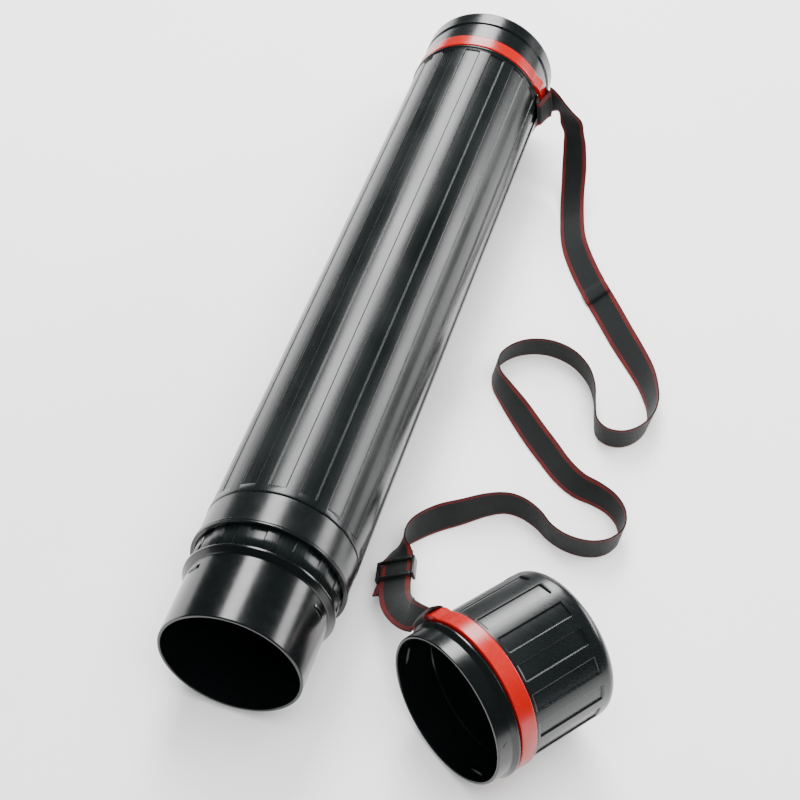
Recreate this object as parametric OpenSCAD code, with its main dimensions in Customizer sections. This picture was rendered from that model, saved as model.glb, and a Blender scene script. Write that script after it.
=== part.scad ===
// Telescopic drawing tube with its lid off, two swivel strap rings and a woven carrying strap.
// Millimetres, +Z up. The tube lies along Y with its closed base at +Y and its mouth at -Y.
// The lid lies on its side next to the mouth. Everything rests on z = 0.

/* [Tube] */
// Outer radius of the two strap rings, on which the tube and the lid rest
ring_r = 62; // [61.6:0.1:64]
// Outer radius over the raised ribs of the outer tube
tube_r = 60; // [59.9:0.1:60.4]
// Depth of the flutes between two ribs
flute_depth = 1.2; // [0.8:0.1:1.3]
// Bore of the outer tube
tube_bore_r = 57.4; // [57.35:0.05:57.5]
// Number of ribs round the tube and the lid
rib_count = 16; // [12:1:20]
// Width of one rib, as an angle
rib_angle = 9.9; // [8:0.1:11]
// Length from the base end to the seam of the collar
seam_t = 599; // [500:1:600]

/* [Inner tube] */
// Outer radius over the ribs of the inner tube
inner_r = 57; // [56.8:0.05:57.05]
// Bore of the inner tube
inner_bore_r = 54.6; // [54.5:0.05:54.7]
// Where the inner tube starts inside, measured from the base end
inner_start_t = 92; // [90:1:120]
// Where the inner tube meets the flange of the neck, as stored
flange_t = 648; // [648:1:660]
// Outer radius of the neck
neck_r = 54.5; // [54.4:0.05:54.5]
// Bore of the neck
neck_bore_r = 52; // [50:0.1:52.5]
// Length of the neck beyond its flange
neck_len = 56; // [40:1:56]

/* [Lid] */
// Outer radius of the lid over its ribs
lid_r = 58.8; // [58.6:0.1:58.9]
// Overall length of the lid
lid_len = 110; // [110:0.5:111]
// Rounding of the closed end
lid_round = 9; // [6:0.5:10]
// Turn of the lid on the floor, counted from +X
lid_yaw = 53.9; // [50:0.1:58]

/* [Strap] */
// Width of the webbing
strap_w = 25; // [23:0.5:25]
// Thickness of one layer of webbing
strap_t = 1.5; // [1.2:0.1:1.6]
// Inner radius of the bridge that the webbing goes under
bridge_in_r = 61.6; // [61.5:0.1:61.7]
// Outer radius of that bridge
bridge_out_r = 64.6; // [64.4:0.1:64.7]

/* [Hidden] */
$fn = 128;

axis_h = ring_r;                       // height of the tube's axis over the floor
tube_x = -98.7;                        // the tube's axis in plan
base_y = 362.1;                        // the outside of the base
pitch = 360 / rib_count;               // angle from rib to rib
flute_r = tube_r - flute_depth;
rib_phase = 66.3;                      // where one rib of the tube stands
lid_phase = 52.2;                      // where one rib of the lid stands
lid_x = 54.9;                          // centre of the lid's opening
lid_y = -328.0;
bridge_a = 12;                         // where the bridge of the base ring stands
lid_bridge_a = 160;                    // where the bridge of the lid ring stands
bridge_half = 16;                      // half the angle that a bridge takes
wrap_half = strap_w / 61.5 * 90 / PI;  // half the angle that the webbing covers on it
ring_w = 13.7;                         // width of a ring along the axis
base_ring_t = 38.8;                    // first side of the base ring
lid_ring_t = 76.8;                     // first side of the lid ring, from the closed end

// Local Z runs from the closed end to the mouth, local Y is up
module on_tube() { translate([tube_x, base_y, axis_h]) rotate([90, 0, 0]) children(); }
module on_lid() {
    translate([lid_x + lid_len * cos(lid_yaw), lid_y + lid_len * sin(lid_yaw), axis_h])
        rotate([0, 0, lid_yaw - 90]) rotate([90, 0, 0]) children();
}

// The hollows between the ribs, as flat shapes
module flutes(r_out, r_in, phase) {
    difference() {
        circle(r = r_out + 1.5);
        circle(r = r_in);
        for (i = [0:rib_count - 1]) rotate(phase + i * pitch)
            polygon([[0, 0], [80, 80 * tan(rib_angle / 2)], [80, -80 * tan(rib_angle / 2)]]);
    }
}

// A strap ring: a round band with a raised bridge at angle a
module strap_ring(a, bore) {
    union() {
        rotate([0, 0, a + bridge_half - 0.5]) rotate_extrude(angle = 361 - 2 * bridge_half)
            polygon([[bore, 0], [ring_r - 1.2, 0], [ring_r, 1.2], [ring_r, ring_w - 1.2],
                     [ring_r - 1.2, ring_w], [bore, ring_w]]);
        difference() {
            rotate([0, 0, a - bridge_half]) rotate_extrude(angle = 2 * bridge_half)
                polygon([[bore, 0.1], [bridge_out_r - 1, 0.1], [bridge_out_r, 1.1], [bridge_out_r, ring_w - 1.1],
                         [bridge_out_r - 1, ring_w - 0.1], [bore, ring_w - 0.1]]);
            rotate([0, 0, a - bridge_half + 2.6]) rotate_extrude(angle = 2 * bridge_half - 5.2)
                translate([bore - 2, -1]) square([bridge_in_r - bore + 2, ring_w + 2]);
        }
    }
}

// The turn of webbing round a bridge
module end_wrap(a) {
    rotate([0, 0, a - wrap_half]) rotate_extrude(angle = 2 * wrap_half)
        difference() {
            translate([bridge_in_r - 0.2 - strap_t, -0.2 - strap_t])
                square([bridge_out_r - bridge_in_r + 0.4 + 2 * strap_t, ring_w + 0.4 + 2 * strap_t]);
            translate([bridge_in_r - 0.2, -0.2]) square([bridge_out_r - bridge_in_r + 0.4, ring_w + 0.4]);
        }
}

module outer_tube() {
    color([0.10, 0.13, 0.13]) on_tube() difference() {
        rotate_extrude() polygon([[tube_bore_r, 53], [tube_r - 1.8, 53], [tube_r - 1.8, 55.6], [tube_r - 0.6, 56.4],
                                  [tube_r, 57.2], [tube_r, seam_t - 0.6], [tube_r - 0.6, seam_t],
                                  [58.5, seam_t], [58.5, seam_t + 19], [tube_bore_r, seam_t + 19]]);
        translate([0, 0, 57.5]) linear_extrude(seam_t - 7 - 57.5) flutes(tube_r, flute_r, rib_phase);
    }
}

module base_cap() {
    color([0.09, 0.11, 0.11]) on_tube() rotate_extrude()
        polygon([[0, 1], [46, 1], [47, 0], [58.75, 0], [60, 2.5], [60, 16], [58.6, 17], [58.6, 21],
                 [59.5, 21.6], [59.5, 38.5], [57.6, 38.5], [57.6, 53], [57.35, 53], [57.35, 69], [56.6, 70],
                 [54.8, 70], [54.8, 5], [53, 4], [0, 4]]);
}

module base_strap_ring() {
    color([0.80, 0.18, 0.14]) on_tube() translate([0, 0, base_ring_t]) strap_ring(bridge_a, 57.68);
}

module base_end_wrap() {
    color([0.10, 0.12, 0.12]) on_tube() translate([0, 0, base_ring_t]) end_wrap(bridge_a);
}

module lock_collar() {
    color([0.10, 0.13, 0.13]) on_tube() rotate_extrude()
        polygon([[58.58, seam_t + 0.5], [59.2, seam_t + 0.5], [59.6, seam_t + 0.9], [59.6, seam_t + 26],
                 [60.8, seam_t + 26.4], [60.8, seam_t + 27.5], [60.0, seam_t + 27.9], [60.8, seam_t + 28.3],
                 [60.8, seam_t + 29.4], [60.2, seam_t + 30], [57.3, seam_t + 30], [57.3, seam_t + 25],
                 [58.58, seam_t + 25]]);
}

module clamp_ring() {
    color([0.16, 0.17, 0.17]) on_tube() translate([0, 0, seam_t + 19.4]) rotate([0, 0, 276])
        rotate_extrude(angle = 348) polygon([[57.3, 0.4], [57.6, 0], [58.5, 0], [58.5, 5.4], [57.6, 5.4], [57.3, 5]]);
}

module inner_tube() {
    color([0.09, 0.11, 0.11]) on_tube() difference() {
        rotate_extrude() polygon([[inner_bore_r, inner_start_t], [55.6, inner_start_t], [55.6, inner_start_t + 12],
                                  [inner_r, inner_start_t + 12], [inner_r, flange_t], [inner_bore_r, flange_t]]);
        translate([0, 0, inner_start_t + 20]) linear_extrude(flange_t - inner_start_t - 20 + 1)
            flutes(inner_r, inner_r - 1, rib_phase);
    }
}

module guide_ring() {
    color([0.16, 0.17, 0.17]) on_tube() rotate_extrude()
        polygon([[55.65, inner_start_t + 0.3], [56.8, inner_start_t + 0.3], [57.1, inner_start_t + 1],
                 [57.1, inner_start_t + 11.2], [56.8, inner_start_t + 11.9], [55.65, inner_start_t + 11.9]]);
}

module neck() {
    color([0.08, 0.10, 0.10]) on_tube() union() {
        rotate_extrude() polygon([[neck_bore_r, flange_t - 12], [inner_bore_r - 0.05, flange_t - 12],
                                  [inner_bore_r - 0.05, flange_t], [58.1, flange_t], [58.7, flange_t + 0.6],
                                  [58.7, flange_t + 2], [55.6, flange_t + 5.2], [neck_r, flange_t + 6],
                                  [neck_r, flange_t + 6 + neck_len - 0.8], [neck_r - 0.8, flange_t + 6 + neck_len],
                                  [neck_bore_r + 0.6, flange_t + 6 + neck_len], [neck_bore_r, flange_t + 5.4 + neck_len]]);
        for (i = [0:2]) rotate([0, 0, 20 + 120 * i]) rotate_extrude(angle = 17)
            polygon([[neck_r - 0.5, flange_t + 11], [neck_r + 1, flange_t + 11.6], [neck_r + 1, flange_t + 15.4],
                     [neck_r - 0.5, flange_t + 16]]);
    }
}

module lid_shell() {
    r = lid_r; q = lid_round;
    color([0.10, 0.13, 0.13]) on_lid() difference() {
        rotate_extrude() polygon(concat(
            [[0, 0]], [for (i = [0:6]) [r - q + q * sin(i * 15), q - q * cos(i * 15)]],
            [[r, 76.2], [r - 0.5, 76.5], [56.55, 76.5], [56.55, 11], [53, 6], [47, 3], [0, 3]]));
        translate([0, 0, 15.5]) linear_extrude(57.7) flutes(lid_r, lid_r - flute_depth, lid_phase);
    }
}

module lid_liner() {
    color([0.09, 0.11, 0.11]) on_lid() rotate_extrude()
        polygon([[55.2, 62], [56.1, 62], [56.5, 62.6], [56.5, 76.55], [57.6, 76.55], [57.6, 92.5], [60, 92.8],
                 [60.5, 93.3], [60.5, 94.8], [60, 96], [58.3, 105], [58.2, lid_len - 0.8], [57.4, lid_len],
                 [56.2, lid_len], [55.8, lid_len - 0.6], [55.8, 79], [55.2, 78]]);
}

module lid_strap_ring() {
    color([0.80, 0.18, 0.14]) on_lid() translate([0, 0, lid_ring_t]) strap_ring(lid_bridge_a, 57.68);
}

module lid_end_wrap() {
    color([0.10, 0.12, 0.12]) on_lid() translate([0, 0, lid_ring_t]) end_wrap(lid_bridge_a);
}

// Strap routes: x, y, height of the middle (0 where it rests on the floor) and tilt of its width.
// Tilt 0 lies flat, 90 stands on its edge, over 90 leans to the right of the run.
upper_route = [[-32.5, 316.6, 76, 95], [-22, 316.6, 77.5, 92], [-12, 316.8, 75, 80], [-5, 317, 68, 62],
    [-2, 316.6, 57, 48], [0, 314, 45, 42], [3, 307, 32, 40], [8, 294, 21, 40], [13, 276, 13.5, 40],
    [18.5, 254.5, 0, 40], [23.5, 235, 0, 40], [31, 215, 0, 40], [45, 191, 0, 38], [60.5, 169, 0, 38]];
lower_route = [[60.8, 168.6, 0, 38], [77, 148, 0, 38], [94, 125, 0, 42], [110, 104, 0, 52], [123, 86, 0, 62],
    [132, 69, 0, 72], [138, 51, 0, 80], [138, 33, 0, 86], [131, 17, 0, 88], [120, 7, 0, 86], [107, 5, 0, 82],
    [97, 12, 0, 80], [92, 28, 0, 80], [87, 48, 0, 80], [77, 66, 0, 80], [60, 79, 0, 80], [39, 82, 0, 80],
    [20, 75, 0, 82], [7, 62, 0, 84], [1, 46, 0, 86], [5, 30, 0, 84], [17, 17, 0, 74], [33, 2, 0, 62],
    [49, -14, 0, 58], [65, -29, 0, 58], [81, -44, 0, 62], [97, -54, 0, 68], [114, -58, 0, 76], [128, -64, 0, 82],
    [138, -75, 0, 86], [141, -91, 0, 88], [133, -106, 0, 88], [119, -114, 0, 86], [102, -115, 0, 84],
    [87, -110, 0, 84], [75, -101, 0, 88], [61, -95, 0, 92], [47, -95, 0, 96], [32, -103, 0, 104],
    [15, -117, 0, 112], [-1, -130, 0, 116], [-14, -146, 0, 110], [-20, -160, 0, 90], [-20.9, -170, 11.4, 60],
    [-20.1, -174.2, 11.9, 46]];
end_route = [[-19.7, -175.8, 12.1, 42], [-19.1, -179, 12.6, 28], [-16.3, -194.3, 16.5, 28],
    [-13.5, -209.6, 20.4, 28], [-11, -220, 25.2, 29], [-7.6, -231.5, 32.5, 33], [-1.8, -243.7, 43, 44],
    [4.8, -253.8, 54.5, 62], [9.2, -259.6, 63.4, 80]];

function unit(v) = v / norm(v);
function rest_z(a, th) = strap_w / 2 * sin(a) + th / 2 * abs(cos(a)) + 0.15;
function spot(p, th) = [p[0], p[1], p[2] > 0 ? p[2] : rest_z(p[3], th)];
function runs(c, i) = unit(c[min(i + 1, len(c) - 1)] - c[max(i - 1, 0)]);
function side(t) = unit([-t[1], t[0], 0]);
function across(t, a) = cos(a) * side(t) + sin(a) * cross(t, side(t));
function section(c, t, w, th) = let (n = cross(t, w), b = strap_w / 2, h = th / 2)
    [for (k = [[b, -h + 0.3], [b, h - 0.3], [b - 0.4, h], [-b + 0.4, h], [-b, h - 0.3], [-b, -h + 0.3],
               [-b + 0.4, -h], [b - 0.4, -h]]) c + k[0] * w + k[1] * n];

module webbing(route, th) {
    c = [for (p = route) spot(p, th)];
    m = len(c);
    pts = [for (i = [0:m - 1]) let (t = runs(c, i)) each section(c[i], t, across(t, route[i][3]), th)];
    polyhedron(points = pts, convexity = 8, faces = concat(
        [[for (k = [0:7]) k]], [[for (k = [7:-1:0]) (m - 1) * 8 + k]],
        [for (i = [0:m - 2]) for (k = [0:7]) let (a = i * 8 + k, b = i * 8 + (k + 1) % 8) each
            [[a, a + 8, b], [b, a + 8, b + 8]]]));
}

module strap_upper() { color([0.12, 0.15, 0.15]) webbing(upper_route, strap_t); }
module strap_lower() { color([0.12, 0.15, 0.15]) webbing(lower_route, strap_t); }
module strap_end_loop() { color([0.12, 0.15, 0.15]) webbing(end_route, 2 * strap_t); }

// Three-bar slider: two end bars over the webbing, one middle bar under it
module slider_buckle() {
    h = strap_t + 0.35;
    color([0.05, 0.06, 0.06]) translate([-16.3, -194.3, 16.5]) rotate([0, 0, -79.63]) rotate([0, -14.07, 0])
        rotate([28, 0, 0]) union() {
            for (s = [-1, 1]) {
                translate([-11, s > 0 ? 12.9 : -15.5, -h - 2.2]) cube([22, 2.6, 2 * h + 4.4]);
                translate([s > 0 ? 7.5 : -11, -14, h]) cube([3.5, 28, 2.2]);
            }
            translate([-2, -14, -h - 2.2]) cube([4, 28, 2.2]);
        }
}

outer_tube();
base_cap();
base_strap_ring();
base_end_wrap();
lock_collar();
clamp_ring();
inner_tube();
guide_ring();
neck();
lid_shell();
lid_liner();
lid_strap_ring();
lid_end_wrap();
strap_end_loop();
slider_buckle();
strap_upper();
strap_lower();
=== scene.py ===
import bpy, bmesh, math
from mathutils import Vector, Matrix


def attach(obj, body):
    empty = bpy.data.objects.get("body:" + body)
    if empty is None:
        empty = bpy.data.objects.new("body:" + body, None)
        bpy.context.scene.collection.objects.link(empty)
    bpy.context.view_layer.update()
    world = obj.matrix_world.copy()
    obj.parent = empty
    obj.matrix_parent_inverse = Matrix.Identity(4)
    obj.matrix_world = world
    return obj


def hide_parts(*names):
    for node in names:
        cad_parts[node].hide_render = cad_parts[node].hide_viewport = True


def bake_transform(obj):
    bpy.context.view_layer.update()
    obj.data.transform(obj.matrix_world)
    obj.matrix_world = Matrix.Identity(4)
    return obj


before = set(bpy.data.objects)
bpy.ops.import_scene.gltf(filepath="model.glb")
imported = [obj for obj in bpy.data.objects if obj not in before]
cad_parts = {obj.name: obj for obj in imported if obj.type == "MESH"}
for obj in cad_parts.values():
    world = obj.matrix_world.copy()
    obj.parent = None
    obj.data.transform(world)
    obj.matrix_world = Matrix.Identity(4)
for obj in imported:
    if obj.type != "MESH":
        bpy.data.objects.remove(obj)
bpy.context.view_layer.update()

MM = 0.001
rad = math.radians

# ------------------------------------------------------------------ camera
FPX = 1898.3
cam_data = bpy.data.cameras.new("camera")
cam_data.sensor_width = 36.0
cam_data.sensor_fit = "HORIZONTAL"
cam_data.lens = FPX * 36.0 / 800.0
cam_data.clip_start = 0.05
cam_data.clip_end = 50.0
cam = bpy.data.objects.new("camera", cam_data)
bpy.context.scene.collection.objects.link(cam)
rt = Vector((0.94936245, 0.28818835, 0.12513355))
up = -Vector((0.29891662, -0.70585886, -0.64219322))
bk = -Vector((-0.09674598, 0.64707863, -0.75626019))
m = Matrix((rt, up, bk)).transposed().to_4x4()
m.translation = Vector((0.088164, -1.043523, 1.202914))
cam.matrix_world = m
bpy.context.scene.camera = cam

# ------------------------------------------------------------------ sizes, millimetres, as in the design
TUBE_X, BASE_Y, AXIS_H = -98.7, 362.1, 62.0
LID_LEN, LID_YAW, LID_X, LID_Y = 110.0, 53.9, 54.9, -328.0
SEAM_T, FLANGE_T = 599.0, 648.0
RING_W, BASE_RING_T, LID_RING_T = 13.7, 38.8, 76.8
BRIDGE_IN, BRIDGE_OUT, BRIDGE_HALF = 61.6, 64.6, 16.0
BRIDGE_A, LID_BRIDGE_A = 12.0, 160.0
RIB_PHASE, LID_PHASE, PITCH = 66.3, 52.2, 22.5
STRAP_W, STRAP_T = 25.0, 1.5

_ly = rad(LID_YAW)
LA = Vector((math.cos(_ly), math.sin(_ly), 0.0))
LU = Vector((math.sin(_ly), -math.cos(_ly), 0.0))
UPV = Vector((0, 0, 1))
LID_END = Vector((LID_X, LID_Y, AXIS_H)) + LA * LID_LEN


def on_tube(r, th, t):
    a = rad(th)
    return Vector((TUBE_X + r * math.cos(a), BASE_Y - t, AXIS_H + r * math.sin(a))) * MM


def on_lid(r, th, t):
    a = rad(th)
    return (LID_END - LA * t + LU * (r * math.cos(a)) + UPV * (r * math.sin(a))) * MM


# ------------------------------------------------------------------ mesh helpers
def new_mesh(name, verts, faces, body, mat, smooth=True, uvs=None):
    me = bpy.data.meshes.new(name)
    me.from_pydata([tuple(v) for v in verts], [], faces)
    me.validate(clean_customdata=False)
    bm = bmesh.new()
    bm.from_mesh(me)
    if uvs is None:
        bmesh.ops.remove_doubles(bm, verts=bm.verts, dist=1e-7)
    bmesh.ops.recalc_face_normals(bm, faces=bm.faces)
    bm.to_mesh(me)
    bm.free()
    if smooth:
        for p in me.polygons:
            p.use_smooth = True
    me.materials.append(mat)
    ob = bpy.data.objects.new(name, me)
    bpy.context.scene.collection.objects.link(ob)
    if body:
        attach(ob, body)
    return ob


def rounded(points, seg=4, keep=0.25):
    """A closed outline of (r, t, radius) corners; each corner becomes an arc with a support point on either side."""
    out = []
    n = len(points)
    for i, (r, t, q) in enumerate(points):
        p = Vector((r, t))
        a = Vector(points[i - 1][:2]) - p
        b = Vector(points[(i + 1) % n][:2]) - p
        la, lb = a.length, b.length
        if q <= 0 or la < 1e-6 or lb < 1e-6:
            out.append((r, t))
            continue
        a.normalize(); b.normalize()
        ang = max(min(a.dot(b), 1), -1)
        half = math.acos(ang) / 2
        if abs(math.pi / 2 - half) < 0.02:
            out.append((r, t))
            continue
        d = min(q / math.tan(half), 0.45 * la, 0.45 * lb)
        q = d * math.tan(half)
        c = p + (a + b).normalized() * (q / math.sin(half))
        s0, s1 = p + a * d, p + b * d
        if la * 0.48 > d + keep:
            out.append(tuple(p + a * (d + keep)))
        v0, v1 = s0 - c, s1 - c
        tot = math.atan2(v0.x * v1.y - v0.y * v1.x, v0.dot(v1))
        for k in range(seg + 1):
            f = tot * k / seg
            out.append((c.x + v0.x * math.cos(f) - v0.y * math.sin(f), c.y + v0.x * math.sin(f) + v0.y * math.cos(f)))
        if lb * 0.48 > d + keep:
            out.append(tuple(p + b * (d + keep)))
    return out


def smooth01(x):
    x = max(0.0, min(1.0, x))
    return x * x * (3 - 2 * x)


OFFS = [0, 1.6, 3.2, 4.15, 4.4, 4.6, 4.78, 4.95, 5.12, 5.3, 5.5, 5.8, 7.0, 9.0, 11.25]


def rib_angles(phase):
    out = []
    for k in range(16):
        c = phase + PITCH * k
        for o in OFFS[:-1][::-1]:
            if o > 0:
                out.append(c - o)
        for o in OFFS:
            out.append(c + o)
    return out


def in_flute(th, phase):
    """0 on a rib, 1 in a flute."""
    o = abs((th - phase + PITCH / 2) % PITCH - PITCH / 2)
    return smooth01((o - 4.55) / 0.8)


def turned(name, frame_fn, outline, body, mat, angles=None, shape=None, segs=192, closed=True):
    """A turned piece: a closed outline of (r, t) swept round the axis. shape(r, th, t) may change the radius."""
    angles = angles or [360.0 * k / segs for k in range(segs)]
    n, mlen = len(angles), len(outline)
    verts, faces = [], []
    for th in angles:
        for (r, t) in outline:
            rr = shape(r, th, t) if shape else r
            verts.append(frame_fn(rr, th, t))
    for i in range(n):
        j = (i + 1) % n
        for k in range(mlen if closed else mlen - 1):
            l = (k + 1) % mlen
            a, b, c, d = i * mlen + k, i * mlen + l, j * mlen + l, j * mlen + k
            if outline[k][0] < 1e-6 and outline[l][0] < 1e-6:
                continue
            if outline[k][0] < 1e-6:
                faces.append((a, b, c))
            elif outline[l][0] < 1e-6:
                faces.append((a, b, d))
            else:
                faces.append((a, b, c, d))
    return new_mesh(name, verts, faces, body, mat)


# ------------------------------------------------------------------ materials
class Mat:
    def __init__(self, name, rough=0.4, **sockets):
        self.m = bpy.data.materials.new(name)
        self.m.use_nodes = True
        self.nt = self.m.node_tree
        self.b = self.nt.nodes["Principled BSDF"]
        self.set("Roughness", rough)
        for k, v in sockets.items():
            self.set(k.replace("_", " "), v)

    def set(self, k, v):
        self.b.inputs[k].default_value = v

    def node(self, kind, **kw):
        n = self.nt.nodes.new(kind)
        for k, v in kw.items():
            setattr(n, k, v)
        return n

    def link(self, a, b):
        self.nt.links.new(a, b)

    def math(self, op, a, b=None, clamp=False):
        n = self.node("ShaderNodeMath", operation=op, use_clamp=clamp)
        for i, v in enumerate((a, b)):
            if v is None:
                continue
            if isinstance(v, (int, float)):
                n.inputs[i].default_value = v
            else:
                self.link(v, n.inputs[i])
        return n.outputs[0]

    def coords(self, scale=(1, 1, 1), kind="Object", rot=(0, 0, 0)):
        tc = self.node("ShaderNodeTexCoord")
        mp = self.node("ShaderNodeMapping")
        mp.inputs["Scale"].default_value = scale
        mp.inputs["Rotation"].default_value = rot
        self.link(tc.outputs[kind], mp.inputs["Vector"])
        return mp.outputs["Vector"]

    def noise(self, scale, detail=4, vec=None, rough=0.55):
        n = self.node("ShaderNodeTexNoise")
        n.inputs["Scale"].default_value = scale
        n.inputs["Detail"].default_value = detail
        n.inputs["Roughness"].default_value = rough
        self.link(vec if vec is not None else self.coords(), n.inputs["Vector"])
        return n.outputs["Fac"]

    def ramp(self, fac, stops):
        n = self.node("ShaderNodeValToRGB")
        el = n.color_ramp.elements
        while len(el) < len(stops):
            el.new(0.5)
        for e, (p, c) in zip(el, stops):
            e.position = p
            e.color = (*c, 1) if len(c) == 3 else c
        self.link(fac, n.inputs["Fac"])
        return n.outputs["Color"]

    def rng(self, v, a, b, c, d):
        n = self.node("ShaderNodeMapRange")
        for i, x in enumerate((a, b, c, d)):
            n.inputs[i + 1].default_value = x
        self.link(v, n.inputs[0])
        return n.outputs[0]

    def mix(self, fac, a, b):
        n = self.node("ShaderNodeMix", data_type="RGBA")
        if isinstance(fac, (int, float)):
            n.inputs[0].default_value = fac
        else:
            self.link(fac, n.inputs[0])
        for i, v in ((6, a), (7, b)):
            if isinstance(v, tuple):
                n.inputs[i].default_value = (*v, 1)
            else:
                self.link(v, n.inputs[i])
        return n.outputs[2]

    def bump(self, height, strength, dist, prev=None):
        n = self.node("ShaderNodeBump")
        n.inputs["Strength"].default_value = strength
        n.inputs["Distance"].default_value = dist
        self.link(height, n.inputs["Height"])
        if prev is not None:
            self.link(prev, n.inputs["Normal"])
        return n.outputs["Normal"]


def plastic(name, dark, light, rough, grain=1.0, axis=(900, 14, 900), rot=(0, 0, 0), coat=0.0, wave=1.0, spec=0.5):
    """Moulded plastic: faint flow streaks along the extrusion, a fine grain, and handling haze that dulls the gloss here and there."""
    k = Mat(name, rough)
    k.set("Specular IOR Level", spec)
    streak = k.noise(1.0, 3, k.coords(axis, rot=rot))
    haze = k.noise(9.0, 5)
    fine = k.noise(2600.0, 2)
    col = k.mix(k.rng(haze, 0.35, 0.7, 0, 1), dark, light)
    col2 = k.mix(k.rng(streak, 0.45, 0.75, 0, 0.35), col, light)
    k.link(col2, k.b.inputs["Base Color"])
    r0 = k.rng(haze, 0.3, 0.75, rough - 0.03, rough + 0.06)
    r1 = k.rng(streak, 0.3, 0.8, -0.02, 0.04)
    k.link(k.math("ADD", r0, r1, clamp=True), k.b.inputs["Roughness"])
    nb = k.bump(k.noise(38.0, 2), 0.10 * wave, 0.0006)
    nb = k.bump(streak, 0.010 * wave, 0.0002, nb)
    nb = k.bump(fine, 0.10 * grain, 0.00006, nb)
    k.link(nb, k.b.inputs["Normal"])
    if coat:
        k.set("Coat Weight", coat)
        k.set("Coat Roughness", 0.12)
    return k.m


M_TUBE = plastic("tube_black", (0.0022, 0.0034, 0.0036), (0.0050, 0.0066, 0.0069), 0.25, 1.0, wave=0.7, spec=0.36)
M_CAP = plastic("cap_black", (0.0020, 0.0030, 0.0032), (0.0046, 0.0060, 0.0062), 0.23, 0.8, (120, 120, 120), wave=0.4)
M_LID = plastic("lid_black", (0.0026, 0.0038, 0.0040), (0.0056, 0.0072, 0.0075), 0.26, 1.1, (70, 600, 600), (0, 0, rad(-LID_YAW)), wave=0.6)
M_NECK = plastic("neck_black", (0.0014, 0.0023, 0.0025), (0.0030, 0.0041, 0.0043), 0.19, 0.4, (160, 160, 160), wave=0.3)
M_RED = plastic("ring_red", (0.27, 0.0016, 0.0010), (0.36, 0.0034, 0.0016), 0.23, 0.6, (160, 160, 160), wave=0.3)
M_GREY = plastic("guide_grey", (0.020, 0.022, 0.022), (0.035, 0.037, 0.037), 0.5, 1.4, (200, 200, 200))
M_BUCKLE = plastic("buckle_black", (0.0022, 0.0026, 0.0028), (0.0050, 0.0056, 0.0058), 0.30, 1.6, (260, 260, 260))
M_INNER = plastic("inside_black", (0.0020, 0.0030, 0.0031), (0.0040, 0.0050, 0.0052), 0.38, 1.0)


def webbing_material(name):
    """Woven polyester webbing. UV is in millimetres: U across from 0 to 25, V along. Both edges of the face carry a red stripe of a few warp yarns."""
    k = Mat(name, 0.82)
    k.set("Sheen Weight", 0.08)
    k.set("Sheen Roughness", 0.45)
    k.set("Specular IOR Level", 0.30)
    tc = k.node("ShaderNodeTexCoord")
    sp = k.node("ShaderNodeSeparateXYZ")
    k.link(tc.outputs["UV"], sp.inputs[0])
    u, v = sp.outputs[0], sp.outputs[1]
    pw, pf = 0.78, 1.25
    col_i = k.math("FLOOR", k.math("DIVIDE", u, pw))
    shift = k.math("MULTIPLY", k.math("MODULO", col_i, 2.0), 0.5)
    warp = k.math("ABSOLUTE", k.math("SINE", k.math("MULTIPLY", u, math.pi / pw)))
    ph = k.math("ADD", k.math("DIVIDE", v, pf), shift)
    over = k.math("ADD", k.math("MULTIPLY", k.math("SINE", k.math("MULTIPLY", ph, 2 * math.pi)), 0.5), 0.5)
    height = k.math("MULTIPLY", warp, k.math("ADD", k.math("MULTIPLY", over, 0.6), 0.4))
    # stripes, measured from the nearer edge; the front of the webbing has U under 25, its back is drawn with U over 40
    back = k.math("GREATER_THAN", u, 39.0)
    ul = k.math("SUBTRACT", u, k.math("MULTIPLY", back, 40.0))
    edge = k.math("SUBTRACT", 12.5, k.math("ABSOLUTE", k.math("SUBTRACT", ul, 12.5)))
    hi = k.math("SUBTRACT", 3.9, k.math("MULTIPLY", back, 1.7))
    inner = k.math("LESS_THAN", edge, hi)
    outer = k.math("GREATER_THAN", edge, 0.5)
    stripe = k.math("MULTIPLY", inner, outer)
    # yarn by yarn variation
    wn = k.node("ShaderNodeTexWhiteNoise", noise_dimensions="2D")
    cb = k.node("ShaderNodeCombineXYZ")
    k.link(col_i, cb.inputs[0])
    k.link(k.math("FLOOR", ph), cb.inputs[1])
    k.link(cb.outputs[0], wn.inputs["Vector"])
    var = wn.outputs["Value"]
    body = k.mix(var, (0.0022, 0.0036, 0.0036), (0.0070, 0.0098, 0.0096))
    red = k.mix(var, (0.085, 0.0040, 0.0050), (0.165, 0.0110, 0.0110))
    cloudy = k.noise(60.0, 3)
    red2 = k.mix(k.rng(cloudy, 0.35, 0.7, 0.0, 0.45), red, (0.040, 0.0030, 0.0035))
    base = k.mix(stripe, body, red2)
    # painted shade: the valleys of the weave, where the height is low, are darkened towards near black
    dark = k.mix(k.rng(height, 0.0, 0.75, 0.75, 0.0), base, (0.0012, 0.0016, 0.0016))
    k.link(dark, k.b.inputs["Base Color"])
    k.link(k.rng(var, 0, 1, 0.74, 0.9), k.b.inputs["Roughness"])
    nb = k.bump(height, 0.75, 0.00022)
    nb = k.bump(k.noise(5200.0, 2), 0.25, 0.00004, nb)
    k.link(nb, k.b.inputs["Normal"])
    return k.m


M_WEB = webbing_material("webbing")


def thread_material():
    k = Mat("thread", 0.6)
    n = k.noise(3000.0, 2)
    k.link(k.mix(n, (0.006, 0.008, 0.008), (0.02, 0.024, 0.024)), k.b.inputs["Base Color"])
    k.link(k.bump(n, 0.5, 0.0001), k.b.inputs["Normal"])
    return k.m


M_THREAD = thread_material()

# ------------------------------------------------------------------ outer tube
def ribs(depth, phase, t0, t1, ridge):
    def f(r, th, t):
        if r < ridge - depth - 0.9:
            return r
        g = smooth01((t - t0) / 0.9) * smooth01((t1 - t) / 0.9)
        return r - depth * in_flute(th, phase) * g
    return f


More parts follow.
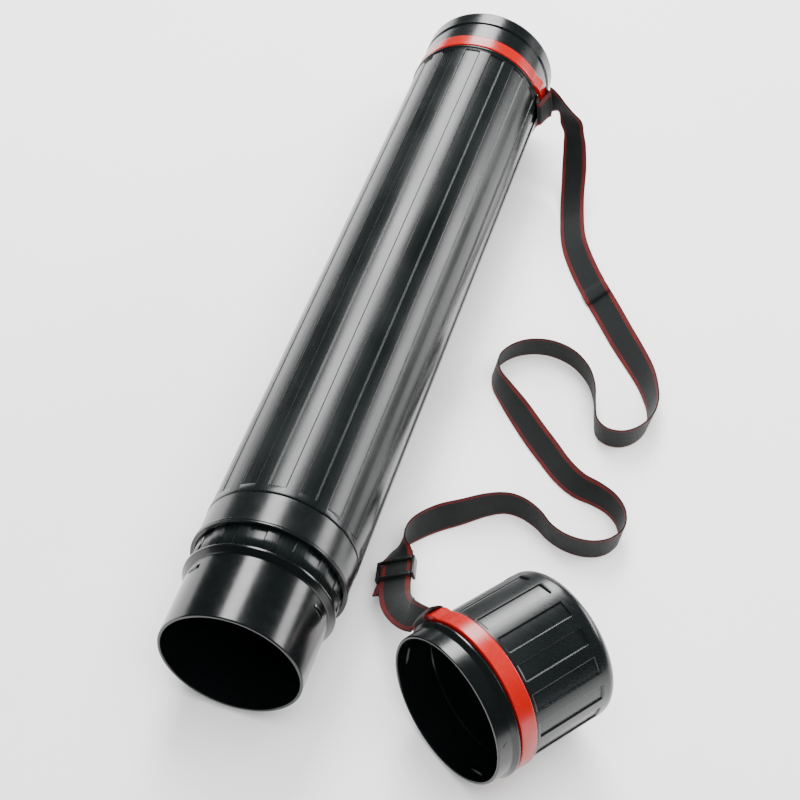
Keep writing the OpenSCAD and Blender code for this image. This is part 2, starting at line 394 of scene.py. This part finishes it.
def stations(t0, t1):
    s = [t0, t0 + 0.2, t0 + 0.45, t0 + 0.7, t0 + 0.95, t0 + 1.6]
    e = [t1 - x + t0 for x in (t0, t0 + 0.2, t0 + 0.45, t0 + 0.7, t0 + 0.95, t0 + 1.6)][::-1]
    n = max(2, int((t1 - t0) / 12))
    mid = [t0 + 1.6 + (t1 - t0 - 3.2) * k / n for k in range(1, n)]
    return s + mid + e


F0, F1 = 57.6, SEAM_T - 7.0
outline = rounded([(57.4, 53.1, 0.2), (60.9, 53.1, 0.35), (60.9, 54.3, 0.45), (59.7, 55.6, 0.4), (60.0, 57.0, 0.3)])
outline += [(60.0, t) for t in stations(F0, F1)]
outline += [(60.0, SEAM_T - 2.0), (60.0, SEAM_T - 0.8), (59.85, SEAM_T - 0.3), (59.5, SEAM_T), (58.5, SEAM_T), (58.5, SEAM_T + 18.6), (58.2, SEAM_T + 19), (57.4, SEAM_T + 19)]
outline += [(57.4, SEAM_T + 18), (57.4, 54)]
ob = turned("outer_tube_skin", on_tube, outline, "casing", M_TUBE, rib_angles(RIB_PHASE),
            ribs(1.2, RIB_PHASE, F0, F1, 60.0))
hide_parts("outer_tube")

# ------------------------------------------------------------------ base cap
outline = [(0.0, 1.0), (20, 1.0), (44, 1.0)] + rounded([(46, 1.0, 0.6), (47, 0.0, 0.4), (58.9, 0.0, 1.3), (60.0, 2.6, 1.5), (60.0, 16.0, 0.5),
    (58.7, 17.0, 0.3), (58.7, 20.9, 0.3), (59.5, 21.6, 0.5), (59.5, 38.5, 0.3), (57.6, 38.5, 0.1), (57.6, 53.0, 0.05), (57.35, 53.0, 0.05),
    (57.35, 69.0, 0.3), (56.6, 70.0, 0.3), (54.8, 70.0, 0.3), (54.8, 5.0, 0.8), (53.0, 4.0, 0.5)])[0:] + [(20, 4.0), (0.0, 4.0)]
ob = turned("base_cap_shell", on_tube, outline, "casing", M_CAP, closed=False)
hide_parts("base_cap")

# ------------------------------------------------------------------ collar and clamp ring
s = SEAM_T
outline = rounded([(58.58, s + 0.5, 0.1), (59.6, s + 0.5, 0.45), (59.6, s + 25.9, 0.3), (60.75, s + 26.2, 0.35), (60.75, s + 27.6, 0.35),
                   (60.0, s + 27.9, 0.12), (60.75, s + 28.2, 0.35), (60.75, s + 29.8, 0.6), (57.3, s + 30.0, 0.3), (57.3, s + 25.0, 0.1), (58.58, s + 25.0, 0.1)])
ob = turned("collar_shell", on_tube, outline, "collar", M_CAP)
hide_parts("lock_collar")
for nm, mt in (("clamp_ring", M_GREY), ("guide_ring", M_GREY)):
    o = bpy.data.objects.get(nm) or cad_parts[nm]
    if isinstance(o, bpy.types.Object):
        o.data.materials.clear()
        o.data.materials.append(mt)

# ------------------------------------------------------------------ inner tube
I0 = 112.0
outline = rounded([(54.6, 92.0, 0.2), (55.6, 92.0, 0.3), (55.6, 104.0, 0.05), (57.0, 104.0, 0.4)])
outline += [(57.0, t) for t in stations(I0, FLANGE_T + 3.0) if t < FLANGE_T - 0.3] + [(57.0, FLANGE_T - 0.02), (54.6, FLANGE_T - 0.02), (54.6, FLANGE_T - 1), (54.6, 93)]
ob = turned("inner_tube_skin", on_tube, outline, "inner", M_TUBE, rib_angles(RIB_PHASE),
            ribs(1.0, RIB_PHASE, I0, FLANGE_T + 3.0, 57.0))
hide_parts("inner_tube")

# ------------------------------------------------------------------ neck
f = FLANGE_T
outline = rounded([(52.0, f - 12, 0.3), (54.55, f - 12, 0.3), (54.55, f + 0.0, 0.02), (58.7, f + 0.0, 0.6), (58.7, f + 2.0, 0.7), (55.6, f + 5.2, 0.8), (54.5, f + 6.0, 0.4),
                   (54.5, f + 62.0, 0.9), (52.0, f + 62.0, 0.8)], keep=0.5)
ob = turned("neck_shell", on_tube, outline, "inner", M_NECK, segs=256)
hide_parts("neck")


def pad_on(name, fn, r0, r1, a0, a1, t0, t1, body, mat, soft=0.5, na=14, nt=8, slope=0.0):
    """A low raised pad on a round wall, with rounded edges."""
    verts, faces = [], []
    for i in range(na + 1):
        for j in range(nt + 1):
            x, y = i / na, j / nt
            ax = smooth01(min(x, 1 - x) * na / 2.5)
            ay = smooth01(min(y, 1 - y) * nt / 2.5)
            th = a0 + (a1 - a0) * x
            verts.append(fn(r0 + (r1 - r0) * ax * ay, th, t0 + (t1 - t0) * y + slope * (x - 0.5)))
    n = nt + 1
    for i in range(na):
        for j in range(nt):
            faces.append((i * n + j, i * n + j + 1, (i + 1) * n + j + 1, (i + 1) * n + j))
    base = len(verts)
    for i in range(na + 1):
        for j in range(nt + 1):
            x, y = i / na, j / nt
            verts.append(fn(r0 - 0.5, a0 + (a1 - a0) * x, t0 + (t1 - t0) * y + slope * (x - 0.5)))
    for i in range(na):
        for j in range(nt):
            faces.append((base + i * n + j, base + (i + 1) * n + j, base + (i + 1) * n + j + 1, base + i * n + j + 1))
    for i in range(na):
        for j in (0, nt):
            a, b = i * n + j, (i + 1) * n + j
            faces.append((a, b, base + b, base + a))
    for j in range(nt):
        for i in (0, na):
            a, b = i * n + j, i * n + j + 1
            faces.append((a, b, base + b, base + a))
    return new_mesh(name, verts, faces, body, mat)


for i in range(3):
    pad_on("neck_lug_%d" % i, on_tube, 54.4, 55.5, 20 + 120 * i, 37 + 120 * i, f + 11, f + 16, "inner", M_NECK)

# ------------------------------------------------------------------ lid shell
R = 58.8
L0, L1 = 15.5, 73.2
arc = [(R - 9 + 9 * math.sin(rad(a)), 9 - 9 * math.cos(rad(a))) for a in range(0, 91, 9)]
outline = [(0.0, 0.0), (15, 0.0), (30, 0.0), (42, 0.0), (48, 0.0)] + arc + [(R, 10.5), (R, 13)]
outline += [(R, t) for t in stations(L0, L1)] + [(R, 74.6), (58.65, 75.9), (58.2, 76.3), (57.2, 76.5), (56.55, 76.4), (56.55, 75), (56.55, 40), (56.55, 14), (56.3, 11), (55.0, 8), (52, 5), (47, 3.2), (30, 3.0), (0.0, 3.0)]
ob = turned("lid_shell_skin", on_lid, outline, "lid", M_LID, rib_angles(LID_PHASE), ribs(1.25, LID_PHASE, L0, L1, R), closed=False)
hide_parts("lid_shell")

# ------------------------------------------------------------------ lid liner
outline = rounded([(55.2, 62.0, 0.3), (56.3, 62.0, 0.3), (56.5, 63.0, 0.2), (56.5, 76.55, 0.02), (57.6, 76.55, 0.05), (57.6, 92.5, 0.15),
                   (61.1, 92.8, 0.45), (61.1, 94.3, 0.8), (58.5, 98.0, 1.2), (58.2, LID_LEN, 0.8), (56.1, LID_LEN, 0.7),
                   (55.8, LID_LEN - 1.6, 0.4), (55.8, 79.5, 0.3), (55.2, 78.4, 0.3)])
ob = turned("lid_liner_shell", on_lid, outline, "lid", M_NECK, segs=224)
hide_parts("lid_liner")
for i in range(3):
    pad_on("lid_catch_%d" % i, on_lid, 56.0, 55.0, 60 + 120 * i, 78 + 120 * i, 97, 101, "lid", M_NECK, slope=2.0)
# a small raised arrow for closing, at the rim
def arrow(a, t):
    pts = [(-3.0, -1.6), (3.0, -1.6), (0, 2.6)]
    verts = []
    for h in (57.9, 58.6):
        k = 1.0 if h < 58.2 else 0.8
        for x, y in pts:
            verts.append(on_lid(h, a + math.degrees(x * k / 58.2), t + y * k))
    faces = [(0, 2, 1), (3, 4, 5)] + [(i, (i + 1) % 3, 3 + (i + 1) % 3, 3 + i) for i in range(3)]
    return new_mesh("lid_mark", verts, faces, "lid", M_NECK, smooth=False)
arrow(24.0, 103.5)

# ------------------------------------------------------------------ strap rings
def strap_ring(name, fn, t0, a, bore, body, node):
    """A round band that lifts into a bridge, with a slot for the webbing under it."""
    def prof(ri, ro, w0, w1, q):
        return rounded([(ri, w0, 0.25), (ro, w0, q * 0.8), (ro, w1, q * 0.8), (ri, w1, 0.25)], seg=5, keep=0.4)
    angs = []
    half = BRIDGE_HALF
    n = 300
    for k in range(n):
        angs.append(a + 360.0 * k / n)
    verts, faces = [], []
    def lift(d):
        return smooth01((half + 9 - abs(d)) / 9.0)
    rings = []
    for th in angs:
        d = (th - a + 180) % 360 - 180
        l = lift(d)
        ro = 61.7 - 1.3 * smooth01((abs(d) - 112) / 34.0) + (BRIDGE_OUT - 61.7) * l
        ri = bore if abs(d) > half - 2.6 else BRIDGE_IN
        rings.append([(r, t0 + t) for r, t in prof(ri, ro, 0, RING_W, 1.3 - 0.3 * l)])
    m_ = len(rings[0])
    for th, rg in zip(angs, rings):
        for r, t in rg:
            verts.append(fn(r, th, t))
    for i in range(n):
        j = (i + 1) % n
        for k in range(m_):
            l = (k + 1) % m_
            faces.append((i * m_ + k, i * m_ + l, j * m_ + l, j * m_ + k))
    ob = new_mesh(name, verts, faces, body, M_RED)
    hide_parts(node)
    return ob


strap_ring("base_ring_band", on_tube, BASE_RING_T, BRIDGE_A, 57.68, "base_ring", "base_strap_ring")
strap_ring("lid_ring_band", on_lid, LID_RING_T, LID_BRIDGE_A, 57.68, "lid_ring", "lid_strap_ring")

# ------------------------------------------------------------------ strap
UPPER = [(-34.5, 319.6, 77.5, 66), (-28, 318.4, 78, 92), (-19.5, 316.6, 76, 116), (-12.1, 314.7, 70, 108),
    (-4.7, 312.4, 60, 80), (0.6, 305.7, 49, 56), (5.1, 296.8, 37, 44), (9.5, 286.5, 23.5, 40), (13.5, 273, 13.5, 40),
    (18.5, 254.5, 0, 40), (23.5, 235, 0, 40), (31, 215, 0, 40), (45, 191, 0, 38), (60.5, 169, 0, 38)]
LOWER = [(60.8, 168.6, 0, 38), (77, 148, 0, 38), (94, 125, 0, 42), (110, 104, 0, 52), (123, 86, 0, 62),
    (132, 69, 0, 72), (138, 51, 0, 80), (138, 33, 0, 86), (131, 17, 0, 88), (120, 7, 0, 86), (107, 5, 0, 82),
    (97, 12, 0, 80), (92, 28, 0, 80), (87, 48, 0, 80), (77, 66, 0, 80), (60, 79, 0, 80), (39, 82, 0, 80),
    (20, 75, 0, 82), (7, 62, 0, 84), (1, 46, 0, 86), (5, 30, 0, 84), (17, 17, 0, 74), (33, 2, 0, 62),
    (49, -14, 0, 58), (65, -29, 0, 58), (81, -44, 0, 62), (97, -54, 0, 68), (114, -58, 0, 76), (128, -64, 0, 82),
    (138, -75, 0, 86), (141, -91, 0, 88), (133, -106, 0, 88), (119, -114, 0, 86), (102, -115, 0, 84),
    (87, -110, 0, 84), (75, -101, 0, 88), (61, -95, 0, 92), (47, -95, 0, 96), (32, -103, 0, 104),
    (15, -117, 0, 112), (-1, -130, 0, 116), (-14, -146, 0, 110), (-20, -160, 0, 92), (-20.9, -170, 11.6, 60)]
END = [(-19.9, -175.2, 12.3, 42), (-19.1, -179, 12.6, 30), (-16.3, -194.3, 16.5, 27),
    (-13.5, -209.6, 20.4, 26), (-11, -220, 25.2, 27), (-7.6, -231.5, 32.5, 33), (-1.8, -243.7, 42.5, 44),
    (4.8, -253.8, 53, 60), (9.4, -259.8, 61.5, 74), (13.4, -263.8, 68, 81), (17.5, -267.4, 75, 85), (19.6, -269.0, 78, 87)]


def rest_z(a, th=STRAP_T):
    return STRAP_W / 2 * math.sin(rad(a)) + th / 2 * abs(math.cos(rad(a))) + 0.15


def dense(route, step=3.0):
    """A smooth curve through the route: points and tilts every few millimetres."""
    P = [Vector((x, y, z if z > 0 else rest_z(t))) for x, y, z, t in route]
    A = [t for *_, t in route]
    P = [P[0] * 2 - P[1]] + P + [P[-1] * 2 - P[-2]]
    A = [A[0]] + A + [A[-1]]
    out = []
    for i in range(1, len(P) - 2):
        p0, p1, p2, p3 = P[i - 1:i + 3]
        n = max(1, int(round((p2 - p1).length / step)))
        last = i == len(P) - 3
        for k in range(n + (1 if last else 0)):
            s_ = k / n
            q = 0.5 * ((2 * p1) + (p2 - p0) * s_ + (2 * p0 - 5 * p1 + 4 * p2 - p3) * s_ ** 2 + (3 * p1 - p0 - 3 * p2 + p3) * s_ ** 3)
            a0, a1, a2, a3 = A[i - 1:i + 3]
            a = 0.5 * ((2 * a1) + (a2 - a0) * s_ + (2 * a0 - 5 * a1 + 4 * a2 - a3) * s_ ** 2 + (3 * a1 - a0 - 3 * a2 + a3) * s_ ** 3)
            out.append((q, a))
    return out


def with_width(pts):
    """[(point, width direction, face direction)] for a list of (point, tilt)."""
    res = []
    n = len(pts)
    for i, (p, a) in enumerate(pts):
        t = (pts[min(i + 1, n - 1)][0] - pts[max(i - 1, 0)][0]).normalized()
        sd = Vector((-t.y, t.x, 0)).normalized()
        w = sd * math.cos(rad(a)) + t.cross(sd) * math.sin(rad(a))
        res.append((p, w, t.cross(w)))
    return res


def lay_down(fr, th=STRAP_T):
    """Keeps the lower edge on or over the floor."""
    out = []
    for p, w, nn in fr:
        low = p.z - abs(w.z) * STRAP_W / 2 - abs(nn.z) * th / 2
        out.append((p + Vector((0, 0, max(0.0, 0.12 - low))), w, nn))
    return out


# cross-section of the webbing: rounded selvedges that are a little thicker than the middle
XS = []
for x, y in ((-12.5, 0), (-12.35, .34), (-12.0, .62), (-11.4, .74), (-10.4, .70), (-8.2, .66), (-4, .66), (0, .67), (4, .66), (8.2, .66), (10.4, .70), (11.4, .74), (12.0, .62), (12.35, .34)):
    XS.append((x, y))
XS = XS + [(-x, -y) for x, y in XS]


def ribbon(name, fr, body, mat, v0=0.0, flutter=0.0, parts=None):
    """A strip of webbing along frames of (point, width, face) in millimetres, closed at both ends."""
    groups = [fr] if parts is None else parts
    verts, faces, uvs = [], [], []
    m_ = len(XS)
    for g in groups:
        base = len(verts)
        dist = v0
        vs = []
        for i, (p, w, nn) in enumerate(g):
            if i:
                dist += (p - g[i - 1][0]).length
            vs.append(dist)
            for x, y in XS:
                wob = flutter * math.sin(dist * 0.11 + x * 0.07) * 0.5 + flutter * 0.5 * math.sin(dist * 0.043 + 1.3)
                verts.append((p + w * x + nn * (y + wob)) * MM)
        for i in range(len(g) - 1):
            for k in range(m_):
                l = (k + 1) % m_
                faces.append((base + i * m_ + k, base + (i + 1) * m_ + k, base + (i + 1) * m_ + l, base + i * m_ + l))
                xs = [XS[k][0] + 12.5, XS[k][0] + 12.5, XS[l][0] + 12.5, XS[l][0] + 12.5]
                off = 0.0 if k < m_ // 2 else 40.0
                uvs.append([(xs[0] + off, vs[i]), (xs[1] + off, vs[i + 1]), (xs[2] + off, vs[i + 1]), (xs[3] + off, vs[i])])
        faces.append(tuple(base + k for k in range(m_)))
        uvs.append([(XS[k][0] + 12.5, vs[0] + XS[k][1]) for k in range(m_)])
        e = base + (len(g) - 1) * m_
        faces.append(tuple(e + k for k in reversed(range(m_))))
        uvs.append([(XS[k][0] + 12.5, vs[-1] + XS[k][1]) for k in reversed(range(m_))])
    me = bpy.data.meshes.new(name)
    me.from_pydata([tuple(v) for v in verts], [], faces)
    layer = me.uv_layers.new(name="weave")
    for poly, uv in zip(me.polygons, uvs):
        for li, q in zip(poly.loop_indices, uv):
            layer.data[li].uv = q
        poly.use_smooth = len(poly.vertices) == 4
    bm = bmesh.new()
    bm.from_mesh(me)
    bmesh.ops.recalc_face_normals(bm, faces=bm.faces)
    bm.to_mesh(me)
    bm.free()
    me.materials.append(mat)
    ob = bpy.data.objects.new(name, me)
    bpy.context.scene.collection.objects.link(ob)
    if body:
        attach(ob, body)
    return ob


def turn_round(t0, out_len, spread, bulge=0.0):
    """The turn of webbing round a bridge as (r, t) points: down one side, under the bridge and up the other.
    bulge lets it stand away from the bridge on the side of the mouth."""
    tm = t0 + RING_W / 2
    q = bulge
    return [(BRIDGE_OUT + out_len, tm + spread), (BRIDGE_OUT + out_len * 0.5 + 1.0, tm + spread + 0.5 + 0.35 * q),
            (BRIDGE_OUT + 1.5, tm + 5.6 + 0.8 * q), (BRIDGE_OUT + 0.0, tm + 7.7 + q), (BRIDGE_OUT - 1.6, tm + 8.0 + q),
            (BRIDGE_IN - 0.2, tm + 7.2 + 0.7 * q), (BRIDGE_IN - 0.8, tm + 4.6), (BRIDGE_IN - 0.9, tm), (BRIDGE_IN - 0.8, tm - 4.6),
            (BRIDGE_IN - 0.2, tm - 7.2), (BRIDGE_OUT - 1.6, tm - 8.0), (BRIDGE_OUT + 0.0, tm - 7.7), (BRIDGE_OUT + 1.5, tm - 5.6),
            (BRIDGE_OUT + out_len * 0.5 + 1.0, tm - spread - 1.0), (BRIDGE_OUT + out_len, tm - spread)]


def curved_strip(name, fn, path, a_mid, body):
    """Webbing whose width follows the arc of the ring: path is (r, t), the width is an angle."""
    verts, faces, uvs = [], [], []
    m_ = len(XS)
    pts = [Vector((r, t)) for r, t in path]
    # smooth the path once
    sm = []
    ext = [pts[0] * 2 - pts[1]] + pts + [pts[-1] * 2 - pts[-2]]
    for i in range(1, len(ext) - 2):
        p0, p1, p2, p3 = ext[i - 1:i + 3]
        n = 3
        for k in range(n + (1 if i == len(ext) - 3 else 0)):
            s_ = k / n
            sm.append(0.5 * ((2 * p1) + (p2 - p0) * s_ + (2 * p0 - 5 * p1 + 4 * p2 - p3) * s_ ** 2 + (3 * p1 - p0 - 3 * p2 + p3) * s_ ** 3))
    dist = 0
    vs = []
    for i, p in enumerate(sm):
        if i:
            dist += (p - sm[i - 1]).length
        vs.append(dist)
        t = (sm[min(i + 1, len(sm) - 1)] - sm[max(i - 1, 0)]).normalized()
        nn = Vector((-t.y, t.x))
        for x, y in XS:
            verts.append(fn(p.x + nn.x * y, a_mid + math.degrees(x / 63.0), p.y + nn.y * y))
    for i in range(len(sm) - 1):
        for k in range(m_):
            l = (k + 1) % m_
            faces.append((i * m_ + k, (i + 1) * m_ + k, (i + 1) * m_ + l, i * m_ + l))
            off = 0.0 if k >= m_ // 2 else 40.0
            uvs.append([(XS[k][0] + 12.5 + off, vs[i]), (XS[k][0] + 12.5 + off, vs[i + 1]), (XS[l][0] + 12.5 + off, vs[i + 1]), (XS[l][0] + 12.5 + off, vs[i])])
    for idx in (0, len(sm) - 1):
        faces.append(tuple(idx * m_ + k for k in range(m_)))
        uvs.append([(XS[k][0] + 12.5, vs[idx]) for k in range(m_)])
    return verts, faces, uvs


def strip_object(name, verts, faces, uvs, body):
    me = bpy.data.meshes.new(name)
    me.from_pydata([tuple(v) for v in verts], [], faces)
    layer = me.uv_layers.new(name="weave")
    for poly, uv in zip(me.polygons, uvs):
        for li, q in zip(poly.loop_indices, uv):
            layer.data[li].uv = q
        poly.use_smooth = len(poly.vertices) == 4
    bm = bmesh.new()
    bm.from_mesh(me)
    bmesh.ops.recalc_face_normals(bm, faces=bm.faces)
    bm.to_mesh(me)
    bm.free()
    me.materials.append(M_WEB)
    ob = bpy.data.objects.new(name, me)
    bpy.context.scene.collection.objects.link(ob)
    if body:
        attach(ob, body)
    return ob


base_turn = strip_object("base_turn", *curved_strip("base_turn", on_tube, turn_round(BASE_RING_T, 6.5, 0.85, 9.0), BRIDGE_A, None), "base_ring")
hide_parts("base_end_wrap")
lid_turn = strip_object("lid_turn", *curved_strip("lid_turn", on_lid, turn_round(LID_RING_T, 3.2, 0.85), LID_BRIDGE_A, None), "lid_ring")
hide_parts("lid_end_wrap")

up_all = lay_down(with_width(dense(UPPER[:-1] + LOWER[:3])))
up_fr = []
seam_at = 0.0
for i, (p, w, nn) in enumerate(up_all):
    if (p - Vector(UPPER[-1][:2] + (p.z,))).length < 2.5:
        break
    up_fr.append((p, w, nn))
lap = up_all[len(up_fr):]
run = 0.0
last = up_fr[-1][0]
for p, w, nn in lap:
    run += (p - last).length
    last = p
    if run > 17:
        break
    up_fr.append((p + nn * (1.62 if nn.z > 0 else -1.62) * smooth01((run + 4) / 9.0), w, nn))
lo_fr = lay_down(with_width(dense(LOWER + END)))
strap_up = ribbon("strap_upper_web", up_fr, None, M_WEB)
strap_lo = ribbon("strap_lower_web", lo_fr, None, M_WEB)
# the last stretch turns with the arc of the ring, so that its end lies along the bridge and meets the webbing's turn
n_in, r_in, t_in = 9, 66.2, LID_RING_T + RING_W / 2
w_end, n_end = lo_fr[-1][1], lo_fr[-1][2]
sx = 1.0 if (on_lid(r_in, LID_BRIDGE_A + 1, t_in) - on_lid(r_in, LID_BRIDGE_A - 1, t_in)).dot(w_end) > 0 else -1.0
sy = 1.0 if (on_lid(r_in, LID_BRIDGE_A, t_in + 1) - on_lid(r_in, LID_BRIDGE_A, t_in)).dot(n_end) > 0 else -1.0
for i in range(len(lo_fr) - n_in, len(lo_fr)):
    q = smooth01((i - (len(lo_fr) - n_in) + 1) / n_in)
    for k, (x, y) in enumerate(XS):
        v = strap_lo.data.vertices[i * len(XS) + k]
        v.co = v.co.lerp(on_lid(r_in, LID_BRIDGE_A + sx * math.degrees(x / r_in), t_in + sy * y), q)
    p, w, nn = lo_fr[i]
    lo_fr[i] = (p.lerp(on_lid(r_in, LID_BRIDGE_A, t_in) / MM, q), w, nn)
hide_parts("strap_upper")
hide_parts("strap_lower", "strap_end_loop")


# the tail: a second layer that runs back from the lid ring, through the slider, and ends free
tail_fr = []
back = dense(END)
bw = with_width(back)
for i, (p, w, nn) in enumerate(bw):
    tail_fr.append((p - nn * 1.75, w, nn))
tail = ribbon("strap_tail", tail_fr[:-8], "lid_ring", M_WEB, v0=40.0)

TIP = [(-16.6, -192.4, 13.9), (-15.6, -204.5, 16.1), (-15.7, -214.0, 18.4), (-15.6, -221.0, 20.2)]
tip_fr = with_width([(q, a) for q, a in dense([(x, y, z, 24) for x, y, z in TIP], 2.0)])
tail_tip = ribbon("strap_tip", tip_fr, "lid_ring", M_WEB, v0=7.0)


def stitches(name, fr, rows, body, lift=0.72, pitch=2.1, across=True):
    """Rows of lock stitches on the face of a strip: rows is [(index of the frame, from, to)] across, or [(offset, first, last)] along."""
    bm = bmesh.new()
    def one(c, d, s_, nn):
        r = bmesh.ops.create_uvsphere(bm, u_segments=8, v_segments=6, radius=1.0)
        mt_ = Matrix((d, s_, nn)).transposed()
        for v in r["verts"]:
            v.co = (c + mt_ @ Vector((v.co.x * 0.80, v.co.y * 0.20, v.co.z * 0.20))) * MM
    for row in rows:
        if across:
            i, a, b = row
            p, w, nn = fr[i]
            t = w.cross(nn)
            x = a
            while x <= b:
                one(p + w * x + nn * lift, w, t, nn)
                x += pitch
        else:
            off, i0, i1 = row
            for i in range(i0, i1):
                p, w, nn = fr[i]
                q = fr[i + 1][0]
                t = (q - p).normalized()
                d = 0.0
                while d < (q - p).length:
                    one(p + t * d + w * off + nn * lift, t, w, nn)
                    d += pitch
    me = bpy.data.meshes.new(name)
    bm.to_mesh(me)
    bm.free()
    for q in me.polygons:
        q.use_smooth = True
    me.materials.append(M_THREAD)
    ob = bpy.data.objects.new(name, me)
    bpy.context.scene.collection.objects.link(ob)
    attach(ob, body)
    return ob


n_up = len(up_fr)
up_sign = 1 if up_fr[-3][2].z > 0 else -1
seam = stitches("seam_stitches", up_fr, [(n_up - 2, -11, 11), (n_up - 5, -11, 11)], "casing", lift=0.80 * up_sign)

# ------------------------------------------------------------------ slider
def buckle():
    bm = bmesh.new()
    def bar(x0, x1, y0, y1, z0, z1):
        r = bmesh.ops.create_cube(bm, size=1.0)
        for v in r["verts"]:
            v.co = Vector(((x0 + x1) / 2 + v.co.x * (x1 - x0), (y0 + y1) / 2 + v.co.y * (y1 - y0), (z0 + z1) / 2 + v.co.z * (z1 - z0)))
    h = STRAP_T + 0.35
    for sgn in (-1, 1):
        bar(-11, 11, sgn * 14.2 - 1.3, sgn * 14.2 + 1.3, -h - 1.9, h + 1.9)
        bar(7.5 if sgn > 0 else -11, 11 if sgn > 0 else -7.5, -13.2, 13.2, h + 0.1, h + 2.2)
    bar(-2, 2, -13.2, 13.2, -h - 2.2, -h - 0.1)
    me = bpy.data.meshes.new("slider")
    bm.to_mesh(me)
    bm.free()
    me.materials.append(M_BUCKLE)
    ob = bpy.data.objects.new("slider_three_bar", me)
    bpy.context.scene.collection.objects.link(ob)
    mod = ob.modifiers.new("round", "BEVEL")
    mod.width = 0.75
    mod.segments = 3
    dg = bpy.context.evaluated_depsgraph_get()
    me2 = bpy.data.meshes.new_from_object(ob.evaluated_get(dg))
    ob.modifiers.clear()
    ob.data = me2
    for p in me2.polygons:
        p.use_smooth = True
    t = Vector((5.6, -30.6, 7.8)).normalized()
    sd = Vector((-t.y, t.x, 0)).normalized()
    w = sd * math.cos(rad(28)) + t.cross(sd) * math.sin(rad(28))
    nn = t.cross(w)
    mm_ = Matrix((t, w, nn)).transposed().to_4x4() @ Matrix.Scale(MM, 4)
    mm_.translation = Vector((-16.3, -194.3, 16.5)) * MM
    me2.transform(mm_)
    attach(ob, "slider")
    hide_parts("slider_buckle")
    return ob


slider = buckle()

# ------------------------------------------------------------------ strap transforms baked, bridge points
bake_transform(strap_up)
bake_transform(strap_lo)
bri = on_tube(63.0, BRIDGE_A, BASE_RING_T + RING_W / 2)
lbr = on_lid(63.0, LID_BRIDGE_A, LID_RING_T + RING_W / 2)

# ------------------------------------------------------------------ floor and lights
me = bpy.data.meshes.new("floor")
S = 4.0
me.from_pydata([(-S, -S, 0), (S, -S, 0), (S, S, 0), (-S, S, 0)], [], [(0, 1, 2, 3)])
floor = bpy.data.objects.new("floor", me)
floor.location = (0, 0, -0.0002)
bpy.context.scene.collection.objects.link(floor)
kf = Mat("floor_pale", 0.85)
kf.link(kf.mix(kf.rng(kf.noise(3.0, 3), 0.3, 0.7, 0, 1), (0.86, 0.86, 0.855), (0.90, 0.90, 0.895)), kf.b.inputs["Base Color"])
kf.link(kf.bump(kf.noise(400.0, 3), 0.05, 0.0005), kf.b.inputs["Normal"])
kf.set("Specular IOR Level", 0.1)
me.materials.append(kf.m)


def area(name, loc, target, sx, sy, power, color=(1, 1, 1), glossy=True, long_axis=None):
    d = bpy.data.lights.new(name, "AREA")
    d.shape = "RECTANGLE"
    d.size, d.size_y = sx, sy
    d.energy = power
    d.color = color
    o = bpy.data.objects.new(name, d)
    bpy.context.scene.collection.objects.link(o)
    z = (Vector(loc) - Vector(target)).normalized()
    y = Vector(long_axis or (0, 1, 0))
    y = (y - z * y.dot(z)).normalized()
    x = y.cross(z)
    mx = Matrix((x, y, z)).transposed().to_4x4()
    mx.translation = Vector(loc)
    o.matrix_world = mx
    o.visible_glossy = glossy
    return o


area("strip_top", (-0.55, 1.10, 1.30), (-0.10, 0.0, 0.06), 0.62, 1.5, 64.0)
area("strip_right", (1.32, 1.05, 0.74), (-0.05, -0.1, 0.06), 0.52, 1.2, 24.0)
area("fill_over", (0.2, -0.3, 2.6), (0.05, 0.0, 0.0), 3.2, 3.2, 190.0, glossy=False)
area("fill_front", (0.4, -2.4, 1.4), (0.0, 0.0, 0.1), 2.2, 1.4, 30.0, glossy=False)

w = bpy.data.worlds.new("studio")
bpy.context.scene.world = w
w.use_nodes = True
bg = w.node_tree.nodes["Background"]
bg.inputs["Color"].default_value = (0.93, 0.95, 0.96, 1)
bg.inputs["Strength"].default_value = 0.08
